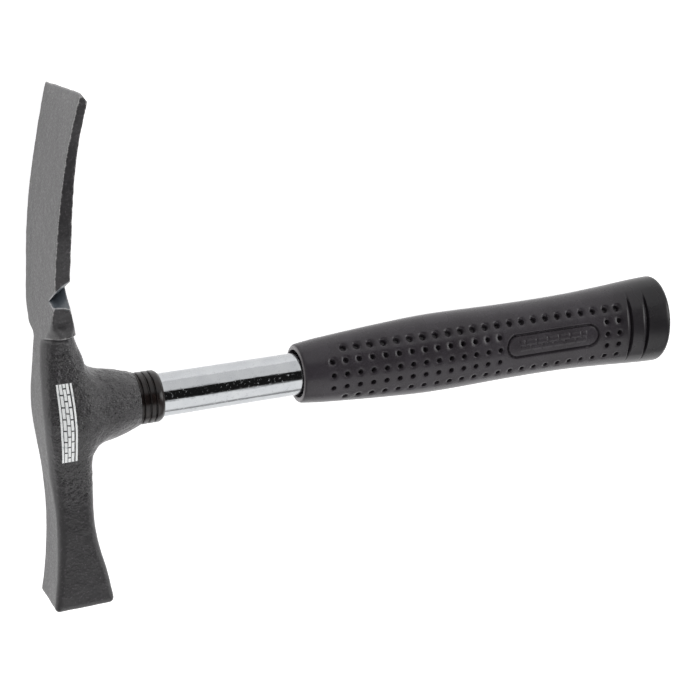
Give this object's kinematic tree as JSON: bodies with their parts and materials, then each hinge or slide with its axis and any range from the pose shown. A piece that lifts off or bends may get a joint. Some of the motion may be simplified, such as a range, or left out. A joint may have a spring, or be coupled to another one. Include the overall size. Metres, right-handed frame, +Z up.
{
  "type": "brick hammer",
  "caption": "Bricklayer's hammer with a forged chisel blade and square poll, nail notch, chromed tubular shaft, ribbed collar and dimpled moulded grip.",
  "frame": {"origin": "centre of the underside of the whole hammer, lying on its side", "axes": "+X along the shaft from head to grip, +Y along the head towards the cutting edge, +Z up, across the blade"},
  "size_m": [0.308, 0.218, 0.057],
  "materials": {
    "head_paint": "satin black paint over forged steel",
    "tube_chrome": "bright chrome",
    "core_wood": "turned hardwood",
    "collar_plastic": "moulded black plastic",
    "grip_rubber": "fine matt moulded rubber",
    "plug_plastic": "moulded plastic",
    "mark_ink": "white printing ink"
  },
  "bodies": {
    "root": {"head": "head_paint", "shaft_tube": "tube_chrome", "core_plug": "core_wood", "collar": "collar_plastic", "grip": "grip_rubber", "end_plug": "plug_plastic", "side_mark": "mark_ink"}
  },
  "joints": []
}
